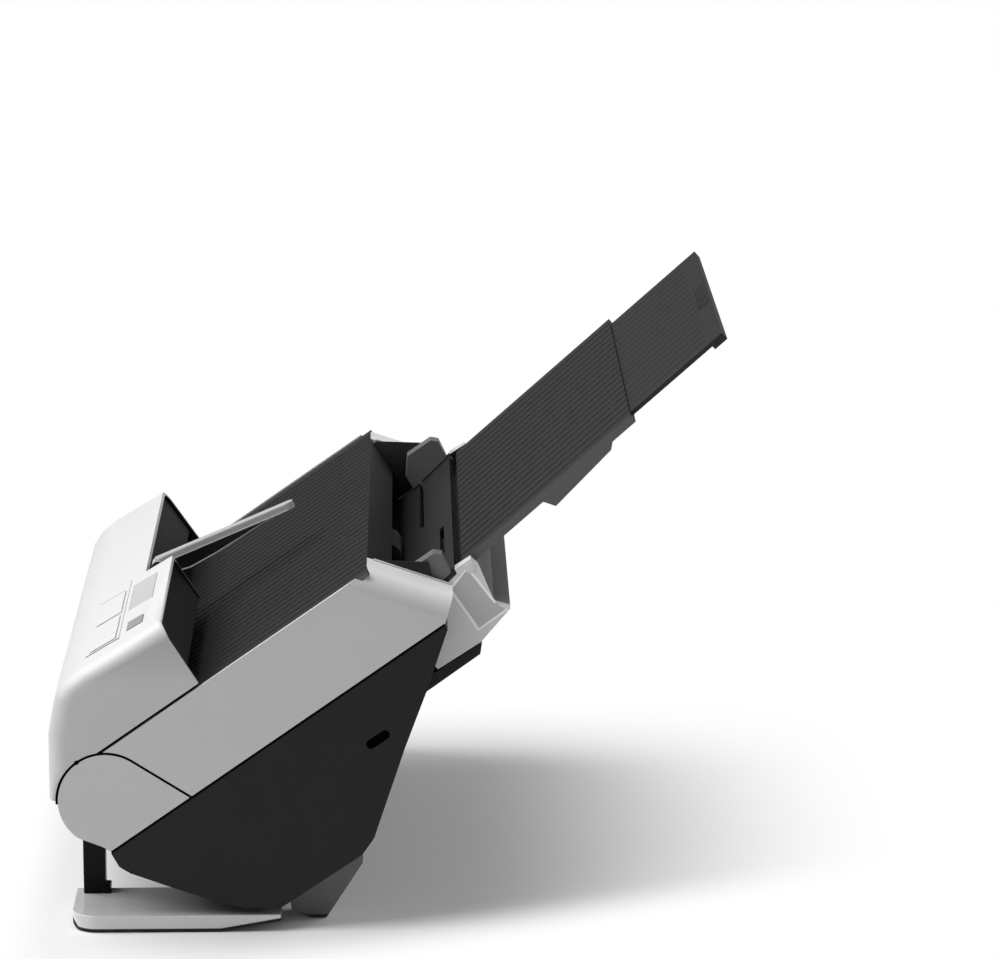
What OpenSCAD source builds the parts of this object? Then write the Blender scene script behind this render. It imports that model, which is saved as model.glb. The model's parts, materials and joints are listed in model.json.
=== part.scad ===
// Desktop sheet-fed document scanner with a U-turn paper path.
// The body leans on its front legs. Inside the leaning frame, y runs along the incline to the rear,
// z stands square to it, and both start at the front hinge axis, on which the turn roller also sits.

/* [Body] */
// Overall width of the machine
body_w = 398; // [380:1:420]
// Lean of the body from level, in degrees
lean = 35; // [33:0.5:36]
// Length of the lower body behind the hinge axis
body_len = 231; // [229:0.5:234]
// Depth of the lower body below its top seam
belly_d = 89; // [87:0.5:93]
// Height of the hinge axis above the surface it stands on
hinge_h = 84; // [83:0.5:87]
// Wall of the moulded covers
wall = 2.5; // [2:0.1:3]

/* [Hinge] */
// Radius of the round hinge cap
cap_r = 29.2; // [28.8:0.1:29.6]
// Visible gap between covers
seam = 1; // [0.8:0.1:1.2]
// Distance from the hinge axis down to the paper path
path_low = 27.6; // [27.4:0.1:27.8]
// Clear height of the paper path
path_gap = 1.6; // [1.4:0.1:1.8]

/* [Upper unit] */
// Height of the eject tray above the hinge axis
lid_h = 25.5; // [25:0.1:26.5]
// Rear edge of the eject tray behind the hinge axis
lid_len = 212; // [210:0.5:214]
// Width of each cheek beside the throat
cheek_w = 35; // [33:0.5:36]
// Rounding of the cheek's outer edge
cheek_r = 15; // [10:0.5:18]
// Spacing of the ribs on the eject tray
rib_pitch = 12; // [10:0.5:16]

/* [Front cover] */
// Rear edge of the operator half of the front cover
cover_len = 91; // [89:0.5:93]
// Crest of the front cover above the hinge axis
cover_h = 74.5; // [73:0.5:76]
// How much shorter the plain half of the cover is
cover_step = 20; // [16:0.5:22]

/* [Rollers] */
// Radius of the main drive rollers
drive_r = 10; // [9.5:0.1:10.5]
// Radius of the pinch rollers
pinch_r = 7; // [6.5:0.1:7.5]
// Radius of the upper feed roller
feed_r = 12; // [11.5:0.1:12.5]
// Length of the widest rollers
roller_len = 304; // [300:1:308]
// Radius of the roller shafts
shaft_r = 4; // [3.5:0.1:4.2]

/* [Feed tray] */
// Width of the feed tray
tray_w = 300; // [296:1:304]
// Length of the main part of the feed tray
tray_len = 134; // [130:1:146]
// Length of the extension that shows
ext_len = 74; // [60:1:84]
// Rise of the tray against the body's lean, in degrees
tray_rise = 6.6; // [5:0.2:8]
// Thickness of the feed tray
tray_t = 6; // [5.5:0.1:7]

/* [Stand] */
// Thickness of the foot plates
foot_t = 8.5; // [7.5:0.1:9.5]
// Thickness of the soles
sole_t = 2; // [1.5:0.1:2.5]
// Width of each foot plate
foot_w = 56; // [52:1:62]

/* [Hidden] */
$fn = 48;

// Overrun of every cut
over = 1;
// Clearance between fixed pieces that stand face to face
gap = 0.3;
// Radial running clearance of shafts in bores
run = 0.05;

half_w = body_w / 2;
side_t = wall;
side_in = half_w - side_t;
gap_r = cap_r + seam;
low_top = -path_low - 0.4;
low_cover_top = low_top - seam;
up_bottom = -path_low + path_gap;

// Chassis plates, and the frame plates of the upper unit inside them
plate_t = 2;
chassis_x = half_w - 17;
frame_x = chassis_x - 5;
inner_x = frame_x - plate_t;
belt_x = chassis_x + plate_t + 2;
belt_w = 3.5;

// Tangent seam between the hinge cap's wedge and the upper unit
wedge_y = 44;
wedge_d = sqrt(wedge_y * wedge_y + low_top * low_top);
wedge_a = atan2(low_top, wedge_y) + acos(gap_r / wedge_d);
top_a = asin(lid_h / gap_r);

// Belly outline, as shares of the body's length and of the belly's depth
belly_shares = [
    [-0.074, 0], [-0.078, 0.11], [-0.065, 0.19], [0, 0.43], [0.069, 0.68], [0.115, 0.82],
    [0.197, 0.985], [0.225, 0.99], [0.463, 1], [0.515, 0.95], [0.723, 0.55], [0.857, 0.31],
    [1, 0.035], [1.003, 0]
];
belly = [for (p = belly_shares) [p[0] * body_len, low_cover_top - p[1] * belly_d]];

// Crest outline of the front cover, as shares of its length and height
lip_r = gap_r + wall + 1.9;
front_a = 180 - lean;
crest_shares = [[-0.187, 0.486], [-0.06, 0.706], [0.054, 0.844], [0.128, 0.93], [0.23, 0.985], [0.374, 1]];
crest_rear_share = 0.948;
cover_floor = lid_h + seam + 1;

// Feed line: the bed and the tray
bed_y0 = 167;
bed_y1 = 190;
bed_y2 = body_len + 19;
bed_z1 = -22.5;
bed_z2 = -12.6;
bed_t = 2;
bed_half = tray_w / 2 + 11.5;
tray_y = bed_y2 + 9;
tray_z = bed_z2 - 4;
pivot_r = 3;
tray_top = 5;

// Roller places
front_nip_y = 60;
rear_nip_y = 120;
scan_y = 90;
feed_y = 178;
nip_gap = 0.3;
drive_z = -path_low + 0.6 - drive_r;
pinch_z = drive_z + drive_r + nip_gap + pinch_r;
feed_z = -23 + feed_r;
retard_r = 11;
retard_z = feed_z - feed_r - nip_gap - retard_r;
tyre_r = path_low - 2;
nose_r = tyre_r - 1.3;

// Motor place
motor_y = 62;
motor_z = -86;
motor_r = 19;
pulley_r = 8;

// Drawing frames
function turn(p, a) = [p[0] * cos(a) - p[1] * sin(a), p[0] * sin(a) + p[1] * cos(a)];
function arc(r, a0, a1, n) = [for (i = [0:n]) let (a = a0 + (a1 - a0) * i / n) [r * cos(a), r * sin(a)]];

// Side of a point's outline moved inwards by d, for an outline that turns anticlockwise
function unit(v) = v / norm(v);
function side_n(a, b) = let (u = unit(b - a)) [-u[1], u[0]];
function meet(p, u, q, v) = p + u * (((q[0] - p[0]) * v[1] - (q[1] - p[1]) * v[0]) / (u[0] * v[1] - u[1] * v[0]));
function inset(pts, d) = let (n = len(pts)) [
    for (i = [0:n - 1])
        let (a = pts[(i + n - 1) % n], b = pts[i], c = pts[(i + 1) % n],
             e = a + side_n(a, b) * d, f = b + side_n(b, c) * d)
        meet(e, b - a, f, c - b)
];

hug_n = 12;

// Tangent outline round a list of wheels [y, z, r], taken anticlockwise
function hug(w, grow) = let (n = len(w)) [
    for (i = [0:n - 1])
        let (p = w[(i + n - 1) % n], c = w[i], q = w[(i + 1) % n],
             a0 = belt_angle(p, c), a1 = belt_angle(c, q), sweep = (a1 - a0 + 720) % 360)
        for (k = [0:hug_n]) let (h = a0 + sweep * k / hug_n) [c[0], c[1]] + (c[2] + grow) * [cos(h), sin(h)]
];
function belt_angle(a, b) = let (d = [b[0] - a[0], b[1] - a[1]])
    atan2(d[1], d[0]) - 90 + asin((a[2] - b[2]) / norm(d));

module leaning() {
    translate([0, hinge_y, hinge_h]) rotate([lean, 0, 0]) children();
}
module across(x0, x1) {
    translate([x0, 0, 0]) rotate([90, 0, 90]) linear_extrude(x1 - x0) children();
}
module rod(x0, x1, y, z, r) {
    translate([x0, y, z]) rotate([0, 90, 0]) cylinder(r = r, h = x1 - x0);
}
module block(x0, x1, y0, y1, z0, z1) {
    translate([x0, y0, z0]) cube([x1 - x0, y1 - y0, z1 - z0]);
}
module both() {
    children();
    mirror([1, 0, 0]) children();
}

// Place of the hinge axis, so that the whole machine is centred on the row's origin
tray_dir = turn([1, 0], tray_rise + lean);
pivot_at = turn([tray_y, tray_z], lean);
tip_y = pivot_at[0] + turn([0, tray_top], tray_rise + lean)[0] + tray_dir[0] * (tray_len + ext_len);
hinge_y = -(tip_y - lip_r) / 2;

// Lower unit: shell, side covers and hinge caps
module open_hollow(pts, top) {
    inner = inset(pts, wall);
    polygon([for (i = [0:len(pts) - 1]) (i == 0 || i == len(pts) - 1) ? [inner[i][0], top] : inner[i]]);
}
inlet_x = -120;
inlet_w = 28;
inlet_h = 20;
inlet_d = 18;
socket_x = -78;
socket_w = 12;
socket_h = 11;
switch_x = -150;
switch_w = 13;
switch_h = 20;
port_a = atan2((belly_shares[10][1] - belly_shares[9][1]) * belly_d * -1,
    (belly_shares[10][0] - belly_shares[9][0]) * body_len);
port_from = belly[9];
port_to = belly[10];
port_at = (port_from + port_to) / 2;
// Frame on the sloped rear face of the belly: x across, y up the slope, z inwards
module port_frame() {
    translate([0, port_at[0], port_at[1]]) rotate([port_a, 0, 0]) children();
}
module port_holes(grow) {
    port_frame() {
        block(inlet_x - inlet_w / 2 - grow, inlet_x + inlet_w / 2 + grow, -inlet_h / 2 - grow,
            inlet_h / 2 + grow, -over, inlet_d);
        block(socket_x - socket_w / 2 - grow, socket_x + socket_w / 2 + grow, -socket_h / 2 - grow,
            socket_h / 2 + grow, -over, inlet_d);
        block(switch_x - switch_w / 2 - grow, switch_x + switch_w / 2 + grow, -switch_h / 2 - grow,
            switch_h / 2 + grow, -over, inlet_d);
    }
}
housing_half = bed_half;
housing_front = bed_y1 + 16;
housing = [
    [housing_front, bed_z1 - 1], [housing_front, bed_z1 - 35], [bed_y2 - 12.3, bed_z1 - 36.1],
    [bed_y2 + 14.6, bed_z1 - 29.1], [bed_y2 + 8, bed_z1 - 21], [bed_y2 + 7.8, bed_z2 - 11.4],
    [bed_y2 + 0.4, bed_z2 - 11.4], [bed_y2 + 0.4, bed_z2 - bed_t - gap]
];
// Black lip of the lower shell under the rear housing
shell_lip = [
    [bed_y2 - 64.5, bed_z1 - 42.8], [bed_y2 - 17, bed_z1 - 42.1], [bed_y2 - 12, bed_z1 - 36.7],
    [bed_y2 - 51, bed_z1 - 35.4], [bed_y2 - 61, bed_z1 - 38.8]
];
module base_shell() {
    color([0.12, 0.12, 0.125]) leaning() difference() {
        union() {
            across(-side_in + gap, side_in - gap) difference() {
                polygon(belly);
                open_hollow(belly, low_cover_top + over);
            }
            across(-housing_half, housing_half) polygon(shell_lip);
        }
        across(-housing_half - gap, housing_half + gap) polygon(inset(housing, -gap));
        port_holes(gap);
    }
}
lock_y = 157;
lock_z = -64;
lock_r = 3;
lock_half = 5;
module side_cover() {
    color([0.11, 0.11, 0.115]) leaning() difference() {
        across(side_in, half_w) polygon(belly);
        for (s = [-1, 1]) rod(side_in - over, half_w + over, lock_y + s * lock_half, lock_z, lock_r);
        block(side_in - over, half_w + over, lock_y - lock_half, lock_y + lock_half, lock_z - lock_r,
            lock_z + lock_r);
    }
}
module right_side_cover() side_cover();
module left_side_cover() mirror([1, 0, 0]) side_cover();

cap_shares = [[-0.64, -0.78], [-0.575, -0.93]];
cap_corner = [(cap_r - low_top * sin(wedge_a)) / cos(wedge_a), low_top];
cap_rim_in = 0.5;
cap_rim_a0 = 85;
cap_rim_a1 = front_a + 48;
cap_outline = concat([cap_corner], arc(cap_r, wedge_a, front_a + 54, 30),
    [for (p = cap_shares) p * cap_r], [[cap_shares[1][0] * cap_r, low_top]]);
module hinge_cap() {
    color([0.62, 0.62, 0.62]) leaning() {
        across(side_in, half_w) polygon(cap_outline);
        across(chassis_x + plate_t, side_in + wall / 2)
            polygon(concat(arc(cap_r - cap_rim_in, cap_rim_a0, cap_rim_a1, 24),
                arc(cap_r - cap_rim_in - wall, cap_rim_a1, cap_rim_a0, 24)));
    }
}
module right_hinge_cap() hinge_cap();
module left_hinge_cap() mirror([1, 0, 0]) hinge_cap();

// Chassis
pin_r = 5;
bush_r = 7;
roller_shaft_x = chassis_x + plate_t + 10;
turn_shaft_r = 3;
motor_hole_r = 6;
ear_r = 13;
plate_margin = 4;
plate_run = concat([for (i = [0:len(belly) - 3]) belly[i]], [belly[len(belly) - 1]]);
stay_w = 14;
stay_h = 9;
stay_t = 1.5;
front_stay = [14, -62];
rear_stay = [174, -56];
module chassis_plate() {
    color([0.7, 0.71, 0.72]) leaning() difference() {
        union() {
            across(chassis_x, chassis_x + plate_t) {
                polygon(inset(plate_run, plate_margin));
                polygon(concat([[-plate_margin, belly[0][1] * 1.4], [cap_corner[0], belly[0][1] * 1.4]],
                    arc(ear_r, -20, 200, 24)));
            }
        }
        for (y = [front_nip_y, rear_nip_y]) rod(chassis_x - over, chassis_x + plate_t + over, y, drive_z, bush_r);
        rod(chassis_x - over, chassis_x + plate_t + over, feed_y, retard_z, bush_r);
        rod(chassis_x - over, chassis_x + plate_t + over, 0, 0, pin_r);
        rod(chassis_x - over, chassis_x + plate_t + over, motor_y, motor_z, motor_hole_r);
    }
}
module right_chassis_plate() chassis_plate();
module left_chassis_plate() mirror([1, 0, 0]) chassis_plate();
module stay(at) {
    difference() {
        block(-chassis_x, chassis_x, at[0], at[0] + stay_w, at[1], at[1] + stay_h);
        block(-chassis_x - over, chassis_x + over, at[0] + stay_t, at[0] + stay_w - stay_t, at[1] - over,
            at[1] + stay_h - stay_t);
    }
}
module chassis_stays() {
    color([0.66, 0.67, 0.68]) leaning() {
        stay(front_stay);
        stay(rear_stay);
    }
}
module hinge_pins() {
    color([0.8, 0.8, 0.78]) leaning() both() difference() {
        rod(inner_x - 1, chassis_x + plate_t + 1.5, 0, 0, pin_r);
        rod(inner_x - 1 - over, chassis_x + plate_t + 1.5 + over, 0, 0, turn_shaft_r + run);
    }
}
module shaft_bushes() {
    color([0.85, 0.84, 0.8]) leaning() both()
        for (c = [[front_nip_y, drive_z], [rear_nip_y, drive_z], [feed_y, retard_z]]) difference() {
            rod(chassis_x, chassis_x + plate_t, c[0], c[1], bush_r);
            rod(chassis_x - over, chassis_x + plate_t + over, c[0], c[1], shaft_r + run);
        }
}

// Paper path in the lower unit
guide_t = 1.6;
window = 1.2;
roller_half = roller_len / 2;
glass_half = roller_half + 3;
glass_d = 20;
post_r = 2.5;
board_top = -60.4;
board_x = 130;
board_y0 = 40;
board_y1 = 160;
post_in = 6;
front_arc0 = front_a + 8;
module lower_guide() {
    color([0.16, 0.16, 0.17]) leaning() difference() {
        union() {
            across(-chassis_x + gap, chassis_x - gap) polygon(concat(
                arc(path_low + guide_t, front_arc0, 270, 16),
                [[bed_y0 - gap, -path_low - guide_t], [bed_y0 - gap, -path_low]],
                arc(path_low, 270, front_arc0, 16)));
            for (x = [-board_x, board_x], y = [board_y0 + post_in, board_y1 - post_in])
                translate([x, y, board_top]) cylinder(r = post_r, h = -path_low - guide_t - board_top);
        }
        for (y = [front_nip_y, rear_nip_y])
            block(-roller_half - window, roller_half + window, y - drive_r - window, y + drive_r + window,
                -path_low - guide_t - over, -path_low + over);
        block(-glass_half - gap, glass_half + gap, scan_y - glass_d / 2 - gap, scan_y + glass_d / 2 + gap,
            -path_low - guide_t - over, -path_low + over);
        both() block(chassis_x - bracket_w - 2 * gap, chassis_x + over, -gap_r - wall, 0, 0, gap_r);
    }
}
scan_half = 165;
scan_d = 22;
scan_h = 21;
lower_scan_top = -path_low - guide_t - gap;
module lower_scan_unit() {
    color([0.2, 0.2, 0.21]) leaning() difference() {
        block(-scan_half, scan_half, scan_y - scan_d / 2, scan_y + scan_d / 2, lower_scan_top - scan_h, lower_scan_top);
        block(-glass_half + scan_d, glass_half - scan_d, scan_y - scan_d / 4, scan_y + scan_d / 4,
            lower_scan_top - scan_h / 2, lower_scan_top + over);
    }
}
module lower_glass() {
    color([0.6, 0.75, 0.78]) leaning()
        block(-glass_half, glass_half, scan_y - glass_d / 2, scan_y + glass_d / 2, lower_scan_top, -path_low - window / 4);
}
retard_half = 22;
bed_line = [[bed_y0, -path_low], [bed_y1, bed_z1], [bed_y2, bed_z2]];
module feed_bed() {
    color([0.13, 0.13, 0.135]) leaning() difference() {
        across(-bed_half, bed_half) polygon(concat([for (i = [2:-1:0]) bed_line[i]],
            [for (p = bed_line) p - [0, bed_t]]));
        block(-retard_half - window, retard_half + window, feed_y - retard_r - window, feed_y + retard_r + window,
            bed_z1 - scan_d, bed_z2);
        for (s = [-1, 1]) {
            slot_y = rack_mid + s * (rack_gap / 2 + rack_w / 2);
            block(s > 0 ? slot_x0 : -bed_half + wall, s > 0 ? bed_half - wall : -slot_x0,
                slot_y - rack_w / 2 - gap, slot_y + rack_w / 2 + gap, bed_z1 - scan_d, bed_z2 + over);
        }
    }
    color([0.13, 0.13, 0.135]) leaning() translate([0, rack_mid, rack_z0])
        cylinder(r = pinion_pin_r, h = bed_at(rack_mid) - bed_t / 2 - rack_z0);
}
ear_x = tray_w / 2 + 2;
ear_w = 6;
module rear_housing() {
    color([0.74, 0.74, 0.74]) leaning() {
        difference() {
            across(-housing_half, housing_half) polygon(housing);
            across(-housing_half + wall, housing_half - wall) polygon(inset(housing, wall));
            block(-housing_half + wall, housing_half - wall, housing_front + 3 + wall, bed_y2 - wall,
                bed_z1 - scan_d / 2, 0);
        }
        both() difference() {
            across(ear_x, housing_half) polygon([
                [bed_y2 + 0.4, bed_z2 - 5.5], [bed_y2 - 6.7, bed_z2 - 6.5], [bed_y2 - 10.9, bed_z2 - 40.8],
                [bed_y2 + 8, bed_z2 - 30.9], [tray_y + 4.5, tray_z - 2], [tray_y + 3.5, tray_z + 4.5],
                [bed_y2 + 0.8, tray_z + 4.8]
            ]);
            rod(ear_x - over, housing_half + over, tray_y, tray_z, pivot_r + run);
        }
    }
}

// Drive, boards and sockets inside the lower unit
motor_len = 36;
motor_bore_d = 20;
motor_shaft_r = 2.5;
module scan_motor() {
    color([0.25, 0.25, 0.26]) leaning() difference() {
        rod(-chassis_x, -chassis_x + motor_len, motor_y, motor_z, motor_r);
        rod(-chassis_x - over, -chassis_x + motor_bore_d, motor_y, motor_z, motor_shaft_r + run);
    }
}
board_t = 1.6;
board_half = 140;
chips = [[-100, 60, 30, 24, 3], [-40, 70, 18, 18, 4], [10, 60, 26, 26, 3], [60, 110, 40, 12, 8], [-90, 120, 16, 22, 7]];
module main_board() {
    color([0.1, 0.35, 0.18]) leaning() {
        block(-board_half, board_half, board_y0, board_y1, board_top - board_t, board_top);
        for (c = chips) block(c[0], c[0] + c[2], c[1], c[1] + c[3], board_top, board_top + c[4]);
    }
}
supply_x0 = -120;
supply_x1 = 20;
supply_y0 = 56;
supply_y1 = 106;
supply_z0 = -112;
supply_z1 = -72;
supply_foot = 2.3;
supply_in = 5;
module power_supply() {
    color([0.6, 0.6, 0.62]) leaning() {
        block(supply_x0, supply_x1, supply_y0, supply_y1, supply_z0, supply_z1);
        for (x = [supply_x0 + supply_in, supply_x1 - supply_in], y = [supply_y0 + supply_in, supply_y1 - supply_in])
            translate([x, y, supply_z0 - supply_foot]) cylinder(r = supply_in, h = supply_foot);
    }
}
inlet_wall = 2;
pin_w = 2;
pin_h = 6;
pin_step = 7;
module mains_inlet() {
    color([0.08, 0.08, 0.08]) leaning() port_frame() difference() {
        block(inlet_x - inlet_w / 2, inlet_x + inlet_w / 2, -inlet_h / 2, inlet_h / 2, 0, inlet_d);
        difference() {
            block(inlet_x - inlet_w / 2 + inlet_wall, inlet_x + inlet_w / 2 - inlet_wall,
                -inlet_h / 2 + inlet_wall, inlet_h / 2 - inlet_wall, -over, inlet_d - inlet_wall);
            for (i = [-1:1]) block(inlet_x + i * pin_step - pin_w / 2, inlet_x + i * pin_step + pin_w / 2,
                -pin_h / 2, pin_h / 2, inlet_wall, inlet_d);
        }
    }
}
module data_socket() {
    color([0.75, 0.75, 0.75]) leaning() port_frame() difference() {
        block(socket_x - socket_w / 2, socket_x + socket_w / 2, -socket_h / 2, socket_h / 2, 0, inlet_d - 2);
        block(socket_x - socket_w / 2 + 1, socket_x + socket_w / 2 - 1, -socket_h / 2 + 1, socket_h / 2 - 1,
            -over, inlet_d - 4);
    }
}
rocker_r = 12;
module power_switch() {
    color([0.06, 0.06, 0.06]) leaning() port_frame() intersection() {
        block(switch_x - switch_w / 2, switch_x + switch_w / 2, -rocker_r, rocker_r, -wall, rocker_r / 2);
        rod(switch_x - switch_w, switch_x + switch_w, 0, rocker_r / 2, rocker_r - wall);
    }
}

// Stand
leg_w = 12;
leg_y0 = -17.6;
leg_y1 = -4;
leg_top = -20;
leg_notch = 2.8;
heel_y = 3;
heel_h = 5;
foot_y0 = -22.5;
foot_flat = 68.5;
foot_y1 = 105.5;
foot_tip = 2;
foot_chamfer = 4;
foot_round = 16;
foot_top = -hinge_h + sole_t + foot_t;
sole_rise = foot_t - foot_tip;
module standing() {
    translate([0, hinge_y, hinge_h]) children();
}
module foot_plan() {
    translate([half_w - foot_w, foot_y0, -hinge_h - over])
        linear_extrude(foot_t + sole_t + 2 * over) {
            square([foot_w - foot_round, foot_y1 - foot_y0]);
            translate([0, foot_round]) square([foot_w, foot_y1 - foot_y0 - foot_round]);
            translate([foot_w - foot_round, foot_round]) circle(foot_round);
        }
}
leg_x = half_w - foot_w;
module front_legs() {
    color([0.05, 0.05, 0.05]) standing() both() {
        difference() {
            block(leg_x, leg_x + leg_w, leg_y0, leg_y1, foot_top, leg_top);
            rod(leg_x - over, leg_x + leg_w + over, 0, 0, path_low + guide_t + gap);
            block(leg_x - over, leg_x + leg_w + over, leg_y0 - over, leg_y0 + leg_notch, -lip_r, leg_top + over);
        }
        block(leg_x, leg_x + leg_w, leg_y1, leg_y1 + heel_y, foot_top, foot_top + heel_h);
    }
}
module foot_plates() {
    color([0.82, 0.82, 0.82]) standing() both() intersection() {
        foot_plan();
        across(half_w - foot_w, half_w) polygon([
            [foot_y0 + foot_chamfer, foot_top - foot_t], [foot_flat, foot_top - foot_t],
            [foot_y1, foot_top - foot_tip], [foot_y1, foot_top], [foot_y0, foot_top],
            [foot_y0, foot_top - foot_t + foot_chamfer]
        ]);
    }
}
module foot_soles() {
    color([0.04, 0.04, 0.04]) standing() both() intersection() {
        foot_plan();
        across(half_w - foot_w, half_w) polygon([
            [foot_y0 + foot_chamfer, -hinge_h], [foot_flat, -hinge_h], [foot_y1, -hinge_h + sole_rise],
            [foot_y1, foot_top - foot_tip], [foot_flat, foot_top - foot_t], [foot_y0 + foot_chamfer, foot_top - foot_t],
            [foot_y0, foot_top - foot_t + foot_chamfer], [foot_y0, foot_top - foot_t]
        ]);
    }
}
rear_foot_x0 = 153;
rear_foot_x1 = 173;
rear_foot_shares = [[1.325, -0.94], [1.47, -1], [1.58, -1], [1.85, -0.58]];
module rear_feet() {
    color([0.27, 0.27, 0.27]) standing() both()
        across(rear_foot_x0, rear_foot_x1) polygon(concat(
            [for (p = rear_foot_shares) p * hinge_h],
            [turn(belly[8], lean), turn(belly[7], lean)]));
}

// Belts and rollers of the lower unit
drive_pulley_r = 12;
pulley_b = 9;
turn_pulley_r = pulley_b * tyre_r / drive_r;
belt_t = 1.2;
row_a = -belt_x - belt_w;
row_b = row_a - belt_w - 0.5;
belt_a = [[motor_y, motor_z, pulley_r], [front_nip_y, drive_z, drive_pulley_r]];
belt_b = [[0, 0, turn_pulley_r], [front_nip_y, drive_z, pulley_b], [rear_nip_y, drive_z, pulley_b]];
module belt(row, wheels) {
    across(row + gap, row + belt_w - gap) difference() {
        polygon(hug(wheels, gap + belt_t));
        polygon(hug(wheels, gap));
    }
}
module drive_belts() {
    color([0.05, 0.05, 0.05]) leaning() {
        belt(row_a, belt_a);
        belt(row_b, belt_b);
    }
}
screw_r = 3;
screw_h = 1.6;
module stay_screws() {
    color([0.75, 0.75, 0.76]) leaning() both()
        for (s = [front_stay, rear_stay])
            rod(chassis_x + plate_t, chassis_x + plate_t + screw_h, s[0] + stay_w / 2, s[1] + stay_h / 2, screw_r);
}
tyre_w = 22;
tyre_step = 54;
tyre_places = [for (i = [-2.5:1:2.5]) i * tyre_step];
groove_d = 1;
module drive_roller(y, pulleys) {
    leaning() {
        rod(-roller_half, roller_half, y, drive_z, drive_r - groove_d);
        for (x = tyre_places) rod(x - tyre_w / 2, x + tyre_w / 2, y, drive_z, drive_r);
        rod(row_b, roller_shaft_x - 4, y, drive_z, shaft_r);
        rod(row_b, row_b + belt_w, y, drive_z, pulley_b);
        if (pulleys == 2) rod(row_a, row_a + belt_w, y, drive_z, drive_pulley_r);
    }
}
module front_drive_roller() color([0.14, 0.14, 0.15]) drive_roller(front_nip_y, 2);
module rear_drive_roller() color([0.14, 0.14, 0.15]) drive_roller(rear_nip_y, 1);
module motor_pulley() {
    color([0.8, 0.8, 0.8]) leaning() {
        rod(row_a, -chassis_x + motor_bore_d - gap, motor_y, motor_z, motor_shaft_r);
        rod(row_a, row_a + belt_w, motor_y, motor_z, pulley_r);
    }
}
module retard_roller() {
    color([0.15, 0.15, 0.16]) leaning() {
        rod(-retard_half, retard_half, feed_y, retard_z, retard_r);
        rod(-roller_shaft_x + 6, roller_shaft_x - 6, feed_y, retard_z, shaft_r);
    }
}

// Upper unit
band_low_y = lid_len + 20;
band_rear = [lid_len + 32.5, low_top + 9.4];
cheek_front = lid_len - 9;
lid_t = 2.5;
rib_h = 1;
lid_low = lid_h - rib_h - lid_t;
chamfer_a = atan2(band_rear[1] - lid_h, band_rear[0] - lid_len);
chamfer_len = norm(band_rear - [lid_len, lid_h]);
band = concat([[wedge_y, low_top], [band_low_y, low_top], band_rear, [lid_len, lid_h]],
    arc(gap_r, top_a, wedge_a, 8));
rim_w = 2;
rim_h = 0.8;
button_y = 190;
button_z = -3;
button_w = 20;
button_h = 8;
button_out = 1.5;
button_in = 9;
module upper_cover() {
    color([0.65, 0.65, 0.65]) leaning() difference() {
        union() {
            across(side_in, half_w) polygon(band);
            across(half_w - cheek_w, side_in) polygon([
                [cheek_front, low_top], [band_low_y, low_top], band_rear, [lid_len, lid_h],
                [lid_len - gap, lid_low - gap], [cheek_front, lid_low - gap]
            ]);
            translate([half_w, lid_len, lid_h]) rotate([chamfer_a, 0, 0])
                block(-cheek_w, -cheek_w + rim_w, 2 * rim_w, chamfer_len - rim_w, -rim_w, rim_h);
        }
        translate([half_w, lid_len, lid_h]) rotate([chamfer_a, 0, 0]) difference() {
            block(-cheek_r, over, -chamfer_len, 2 * chamfer_len, -cheek_r, over);
            translate([-cheek_r, -chamfer_len - over, -cheek_r]) rotate([-90, 0, 0])
                cylinder(r = cheek_r, h = 4 * chamfer_len);
        }
    }
}
module right_upper_cover() upper_cover();
module left_upper_cover() difference() {
    mirror([1, 0, 0]) upper_cover();
    color([0.65, 0.65, 0.65]) leaning() block(-half_w - over, -side_in + over, button_y - button_w / 2 - gap,
        button_y + button_w / 2 + gap, button_z - button_h / 2 - gap, button_z + button_h / 2 + gap);
}
module release_button() {
    color([0.3, 0.3, 0.3]) leaning() {
        block(-half_w - button_out, -side_in + button_in, button_y - button_w / 2, button_y + button_w / 2,
            button_z - button_h / 2, button_z + button_h / 2);
    }
}
lid_y0 = 20;
rib_w = 1.4;
rear_wall_t = 3;
rear_wall_low = -1;
throat_half = half_w - cheek_w - gap;
rib_n = floor((side_in - rib_pitch / 2) / rib_pitch);
module eject_tray() {
    color([0.15, 0.15, 0.155]) leaning() {
        block(-side_in + gap, side_in - gap, lid_y0, lid_len - 2 * gap, lid_low, lid_low + lid_t);
        for (i = [-rib_n:rib_n]) block(i * rib_pitch - rib_w / 2, i * rib_pitch + rib_w / 2, lid_y0,
            lid_len - 2 * gap, lid_low, lid_h);
        block(-throat_half, throat_half, lid_len - 2 * gap - rear_wall_t, lid_len - 2 * gap, rear_wall_low, lid_low);
    }
}
frame_bottom = up_bottom + 0.5;
frame_y1 = 196;
pinch_shaft_r = 3;
frame_ear_r = 11;
tie_w = 10;
tie_h = 7;
tie_places = [[34, 8], [150, 8]];
module upper_frame() {
    color([0.68, 0.69, 0.7]) leaning() {
        both() difference() {
            across(inner_x, frame_x) polygon(concat(
                [[frame_ear_r / 2, frame_bottom], [frame_y1 - 28, frame_bottom], [frame_y1, frame_bottom + 18],
                 [frame_y1, lid_low - gap], [lid_y0, lid_low - gap]],
                arc(frame_ear_r, 100, 260, 16)));
            rod(inner_x - over, frame_x + over, 0, 0, pin_r + run);
            for (c = [[front_nip_y, pinch_z], [rear_nip_y, pinch_z], [feed_y, feed_z]])
                rod(inner_x - over, frame_x + over, c[0], c[1], pinch_shaft_r + run);
        }
        for (t = tie_places) block(-inner_x, inner_x, t[0], t[0] + tie_w, t[1], t[1] + tie_h);
    }
}
guide_half = inner_x - gap;
throat_line = [[nose_r / 2, up_bottom], [bed_y0 - 2, up_bottom], [bed_y1, bed_z1 + 4.5], [lid_len - 5, -4]];
pickup_y = feed_y + 23;
pickup_z = feed_z;
pickup_r = 9;
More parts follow.
